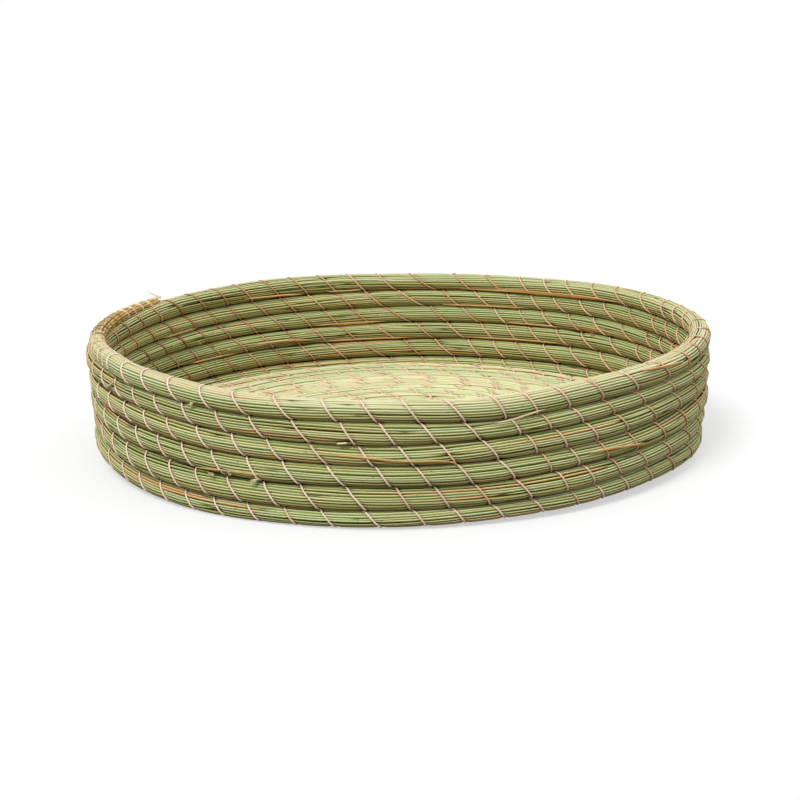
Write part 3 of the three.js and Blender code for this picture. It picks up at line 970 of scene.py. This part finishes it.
# %% A thread from its line
def thread_curve(name, points, numbers):
    """A curve with a bevel, made a mesh."""
    curve = bpy.data.curves.new(name, "CURVE")
    curve.dimensions = "3D"
    curve.bevel_depth = THREAD_RADIUS / 1000
    curve.bevel_resolution = 1
    spline = curve.splines.new("POLY")
    spline.points.add(len(points) - 1)
    spline.points.foreach_set("co", np.c_[points / 1000, np.ones(len(points))].ravel())
    spline.points.foreach_set("radius", 1 + 0.3 * smooth(numbers, *WHITE_STITCHES))
    spline.points[0].radius = spline.points[-1].radius = 0.001
    piece = bpy.data.objects.new(name, curve)
    bpy.context.scene.collection.objects.link(piece)
    bpy.ops.object.select_all(action="DESELECT")
    bpy.context.view_layer.objects.active = piece
    piece.select_set(True)
    bpy.ops.object.convert(target="MESH")
    bpy.ops.object.shade_smooth()
    return bpy.context.view_layer.objects.active


def thread_map(mesh, along):
    """u is the length along the thread, and v goes round it."""
    corner = np.zeros(len(mesh.loops), np.int32)
    mesh.loops.foreach_get("vertex_index", corner)
    side = corner % THREAD_SIDES
    totals = np.zeros(len(mesh.polygons), np.int32)
    mesh.polygons.foreach_get("loop_total", totals)
    face = np.repeat(np.arange(len(totals)), totals)
    wraps = np.zeros(len(totals), bool)
    np.logical_or.at(wraps, face, side == THREAD_SIDES - 1)
    v = np.where(wraps[face] & (side == 0), THREAD_SIDES, side) / THREAD_SIDES
    uv = np.stack([along[corner // THREAD_SIDES] / 1000, v], -1)
    mesh.uv_layers.new(name="grain").uv.foreach_set("vector", uv.astype(np.float32).ravel())


def thread_piece(name, points, numbers, *nodes):
    piece = thread_curve(name, points, numbers)
    tones = np.repeat(thread_tones(numbers), THREAD_SIDES).astype(np.float32)
    piece.data.attributes.new("tone", "FLOAT", "POINT").data.foreach_set("value", tones)
    thread_map(piece.data, length_along(points))
    bpy.ops.object.mode_set(mode="EDIT")
    bpy.ops.mesh.select_all(action="SELECT")
    bpy.ops.mesh.remove_doubles(threshold=0.00001)
    bpy.ops.object.mode_set(mode="OBJECT")
    finish_piece(piece, thread_material, nodes)


# %% The stitches of the rows and of the floor
LAST_WIDE_STITCH = number_at(last_row_turn(209))
for row in range(WALL_ROWS):
    last = number_at(row + 1) if row + 1 < WALL_ROWS else LAST_WIDE_STITCH
    thread_piece(f"row_{row + 1}_stitches", *thread_line(number_at(row), last), f"row_{row + 1}_thread")
thread_piece("floor_stitches", *thread_line(table_number[0] + 1, number_at(0)))

# %% [markdown]
# ## The binding of the thin end
# Round the thin end the stitches sit twice as close, and at the tip the thread's own end sticks
# out by a centimetre, outwards and a little up.

# %% The binding, and its tail
TAIL_AZIMUTH, TAIL_RADII, TAIL_HEIGHTS = 148.2, (194.6, 198.5, 202.4, 206), (78.4, 79.5, 80.3, 81.5)
binding, numbers = thread_line(LAST_WIDE_STITCH, number_at(COIL_END) - 0.08, 2.0)
tail = in_space(TAIL_AZIMUTH, np.array(TAIL_RADII), np.array(TAIL_HEIGHTS))
thread_piece("end_stitches", np.concatenate([binding, tail]),
             np.concatenate([numbers, np.full(len(tail), numbers[-1])]), "end_binding")

# %% [markdown]
# ## Loose ends
# Hand work leaves bits sticking out: the frayed end of the bundle, stems that lie loose along a
# crease, and small tufts where a stem is broken. Each is a thin tapering tube through a few
# points, which are given by azimuth, height and how far they stand off the wall. Hair particles
# would scatter them anywhere, but a broken stem belongs to its own place.

# %% A loose stem
OUTSIDE, INSIDE = 1, -1  # sides of the wall
SURFACE = 6.2  # from the middle of a row to where a loose stem touches it


def wall_surface(azimuth, height, off, side):
    """A point that stands off one side of the wall."""
    row = (np.asarray(height, float) - UNDERSIDE - ROW_PITCH / 2) / ROW_PITCH
    radius = wall_radius(np.clip(row, 0, WALL_ROWS - 1)) + side * (SURFACE + np.asarray(off, float))
    return in_space(azimuth, radius, height)


def rounded(points):
    """The same line with its corners cut off three times."""
    for _ in range(3):
        near, far = (mix(points[:-1], points[1:], share)[:, None] for share in (0.25, 0.75))
        cut = np.concatenate([near, far], 1).reshape(-1, points.shape[1])
        points = np.concatenate([points[:1], cut, points[-1:]])
    return points


def loose_stem(tubes, points, radius, tone, sheath, sides=6, blunt=0.35):
    """A tapering tube through points."""
    points = rounded(np.asarray(points, float))
    steps = np.gradient(points, axis=0)
    steps /= np.linalg.norm(steps, axis=1)[:, None]
    across = np.cross(steps, [0.3, 0.2, 1.0])
    across /= np.linalg.norm(across, axis=1)[:, None]
    other = np.cross(across, steps)
    along = length_along(points)
    share = along / along[-1]
    size = radius * mix(blunt, 1, smooth(share, 0, 0.2) * (1 - smooth(share, 0.8, 1)))
    a = np.arange(sides) * 2 * np.pi / sides
    rings = points[:, None] + size[:, None, None] * (
        across[:, None] * np.cos(a)[None, :, None] - other[:, None] * np.sin(a)[None, :, None])
    up = (rings - points[:, None])[..., 2] / size[:, None]
    # Painted highlight on the upper side of a loose stem.
    tubes.add(rings, along, tone=tone, shade=0.0, under=0.0, ridge=np.clip(0.4 + 0.6 * up, 0, 1),
              sheath=sheath, wall=1.0)


# %% A tuft of fibres
def tuft(tubes, root, direction, count, size, spread, radius, key, tones=(1.0, 1.4), sheath=0.0):
    """Thin fibres that fan out from a root point."""
    rng = np.random.default_rng(key)
    direction = np.asarray(direction, float) / np.linalg.norm(direction)
    for _ in range(count):
        way = direction + spread * rng.normal(0, 1, 3)
        bend = direction + spread * rng.normal(0, 1, 3)
        start = root + 0.5 * rng.normal(0, 1, 3)
        half = size * rng.uniform(0.45, 1.1) * 0.5
        points = [start, start + way * half, start + way * half + bend * half]
        loose_stem(tubes, points, radius * rng.uniform(0.6, 1.2), rng.uniform(*tones), sheath, 4, 0.3)


def clockwise(azimuth, rise=0.0, off=0.0):
    """A direction along the wall, clockwise, with some rise and some way off it."""
    s, c = math.sin(math.radians(azimuth)), math.cos(math.radians(azimuth))
    return np.array([s + off * c, off * s - c, rise])


# %% [markdown]
# ## Placing the loose ends
# The real tray has a few of them, each at its own place. The tables say where: a few lie on the
# outside, and more along the creases of the back wall's inside, where the brown feet of the stems
# come out.

# %% Loose stems
loose = Tubes()
for side, azimuths, heights, off, radius, tone, sheath in [
        (OUTSIDE, [207.5, 209.5, 211.6], [62.0, 64.4, 68.4], [0.9, 1.2, 0.6], 0.6, 1.2, 0.3),
        (OUTSIDE, [285.3, 288, 291, 294], [61.6, 62.6, 64.8, 66.6], [0.8, 0.9, 0.9, 0.3], 0.55, 1.2, 0.4),
        (OUTSIDE, [256.5, 263.4, 270, 277.4, 279], [45.2, 44.3, 41.4, 41.4, 39.4],
         [-0.6, -0.4, -0.5, 0.1, 0.2], 0.75, 0.8, 1.0),
        (OUTSIDE, [259.7, 261.5], [52.0, 52.8], [0.1, 0.2], 0.6, 1.4, 0.0),
        (OUTSIDE, [303.4, 307.5, 312, 316.6], [35.5, 35.8, 34.4, 33.0], [-0.3, 0.2, 0.3, 0.1],
         0.75, 0.9, 1.0),
        (OUTSIDE, [314.4, 320.2, 328.0], [78.4, 76.6, 74.6], [-0.1, 0.3, 0.0], 0.75, 0.9, 1.0),
        (OUTSIDE, [233, 240, 248], [29.0, 30.4, 30.2], [0.1, 0.3, -0.2], 0.6, 0.9, 0.8),
        (INSIDE, [126, 121, 115, 110], [31.6, 32.2, 31.7, 30.0], [-0.4, 0.2, 0.1, -0.5], 0.75, 0.8, 1.0),
        (INSIDE, [126, 121, 117, 112], [66.2, 65.6, 65.4, 64.6], [-0.6, 0.1, 0.2, -0.5], 0.7, 0.8, 1.0)]:
    loose_stem(loose, wall_surface(azimuths, heights, off, side), radius, tone, sheath)
for first, last, crease, above, tone in [
        (76, 38, 5, 1.5, 0.9), (70, 35, 5, 2.4, 0.5), (62, 44, 5, 0.9, 0.2), (106, 98, 5, 1.4, 0.8),
        (110, 93, 3, 1.5, 0.9), (106, 96, 3, 0.9, 0.5), (108, 86, 2, 1.3, 0.2), (75, 50, 2, 1.5, 0.5),
        (80, 60, 4, 1.2, 0.3), (142, 128, 2, 1.4, 0.5), (150, 139, 4, 1.3, 0.3), (66, 52, 3, 1.6, 0.6)]:
    azimuths = np.linspace(first, last, 7)
    heights = crease_height(azimuths, np.full(7, float(crease))) + above
    off = -1.5 + 0.25 * above - 1.2 * np.abs(np.linspace(-1, 1, 7)) ** 6
    loose_stem(loose, wall_surface(azimuths, heights, off, INSIDE), 0.62, tone, 0.9)
print("loose stems:", len(loose.spans))

# %% Tufts, and the frayed tip of the bundle
for k, (azimuth, height, side, count, size, rise, sheath) in enumerate([
        (233.4, 67.4, 1, 9, 3.0, -0.2, 0.0), (245.4, 27.6, 1, 16, 5.0, -0.7, 0.0),
        (240.5, 29.4, 1, 7, 3.0, -0.2, 0.3), (236.8, 27.2, 1, 7, 4.0, 0.2, 0.5),
        (278.8, 39.6, 1, 6, 2.5, 0.0, 1.0), (318.6, 79.6, 0.2, 6, 2.5, 0.3, 0.2),
        (42.9, 41.5, -1, 7, 3.0, 0.2, 1.0), (36.8, 40.3, -1, 6, 2.5, 0.0, 1.0),
        (148, 43.7, -1, 6, 3.0, 0.0, 0.8), (139.7, 41.6, -1, 5, 2.5, 0.0, 0.8),
        (131.6, 31.9, -1, 6, 3.0, 0.0, 0.8)]):
    root = wall_surface(azimuth, height, -0.2, side)
    tuft(loose, root, clockwise(azimuth, rise, 0.3 * side), count, size, 0.35, 0.26, [31, k],
         sheath=sheath)
end = end_place(np.array(COIL_END))
tip = in_space(TIP, end["radius"], end["height"])
tuft(loose, tip, clockwise(TIP, -0.1, 0.1), 34, 6.5, 0.16, 0.42, 5, tones=(0.3, 1.0), sheath=0.6)
tuft(loose, tip + [0, 0, 1.5], clockwise(TIP, 0.35, 0.2), 8, 5.0, 0.4, 0.22, 6, tones=(0.7, 1.0))
tubes_piece(loose, "loose_ends", wall_grass, "wall_grass")

# %% [markdown]
# ## The table
# The tray stands on a white table. It shows white to the camera, with a soft shadow, and is grey
# to all other light, because a white table would wash out the undersides of the rows.

# %% The white table
bpy.ops.mesh.primitive_plane_add(size=8, location=(0, 0, 0))
table_top = bpy.context.view_layer.objects.active
table_top.name = "table"
n = Nodes("table_white")
seen = n.add("ShaderNodeLightPath", {}, "Is Camera Ray")
n.to("Base Color", n.blend(seen, colour(140, 140, 134), colour(250, 250, 250)))
n.to("Roughness", 0.9)
at = n.add("ShaderNodeTexCoord", {}, "Object")
far = n.add("ShaderNodeVectorMath", {"operation": "LENGTH"}, "Value", at).ramp_between(0.2, 0.5)
white = n.add("ShaderNodeEmission", {}, 0, (1, 1, 1, 1), 1.0)
n.surface(n.add("ShaderNodeMixShader", {}, 0, (far * 0.45 + 0.55) * seen,
                Wire(n, n.shader.outputs[0]), white))
table_top.data.materials.append(n.material)
print("table", [round(x, 2) for x in table_top.dimensions], "m")

# %% [markdown]
# ## Light
# The light is broad and soft. The sky is brightest overhead, so the rows are light on top and dark
# towards each crease, and brighter to the right and left, where the real tray's ends are pale.
# One wide lamp from the upper left gives the stems their bright side. Together they light a white
# card to just about white, so every colour shows as it is written.

# %% Sky and lamp
world = bpy.data.worlds.new("sky")
bpy.context.scene.world = world
world.use_nodes = True
n = Nodes("sky", world.node_tree)
overhead = n.add("ShaderNodeSeparateXYZ", {}, "Z", n.add("ShaderNodeTexCoord", {}, "Generated"))
sideways = overhead.output("X")
strength = overhead.ramp_between(-0.1, 0.9) * 0.4 + sideways * (sideways * 0.55 + 0.2) + 0.27
sky = n.add("ShaderNodeBackground", {}, 0, (1, 1, 1, 1), strength)
backdrop = n.add("ShaderNodeBackground", {}, 0, (1, 1, 1, 1), 1.0)
seen = n.add("ShaderNodeLightPath", {}, "Is Camera Ray")
n.surface(n.add("ShaderNodeMixShader", {}, 0, seen, sky, backdrop), "World Output")

bpy.ops.object.light_add(type="SUN", location=(-1, -1, 2))
lamp = bpy.context.view_layer.objects.active
lamp.name = "broad_lamp"
lamp.data.energy = 2.1
lamp.data.angle = math.radians(22)
lamp.rotation_euler = Vector((-0.38, -0.72, 0.95)).to_track_quat("Z", "Y").to_euler()
print("lamp of strength", round(lamp.data.energy, 2))

# %% [markdown]
# ## Camera
# The camera looks down at the front of the tray from 1.35 metres away. Its angle, distance and
# slight roll come from a fit of the rim's ellipse and the creases, so that the rim and the rows
# lie in the picture as they do on the real tray.

# %% The viewer's camera
ELEVATION, ROLL, DISTANCE = math.radians(13.64), math.radians(-0.974), 1.346
target = Vector((0, 0, 0.0389))
back_axis = Vector((0, -math.cos(ELEVATION), math.sin(ELEVATION)))
bpy.ops.object.camera_add(location=target + DISTANCE * back_axis)
camera = bpy.context.view_layer.objects.active
camera.name = "viewer"
turned = back_axis.to_track_quat("Z", "Y").to_matrix() @ Matrix.Rotation(ROLL, 3, "Z")
camera.rotation_euler = turned.to_euler()
camera.data.sensor_width = 36
camera.data.lens = 92.94
camera.data.shift_x, camera.data.shift_y = 0.0006, -0.0213
camera.data.clip_end = 50
bpy.context.scene.camera = camera
bpy.context.scene.view_settings.view_transform = "Standard"
print("camera", [round(x, 3) for x in camera.location])

# %% [markdown]
# ## The end
# Last, the view layer is brought up to date.

# %% Bring the scene up to date
bpy.context.view_layer.update()
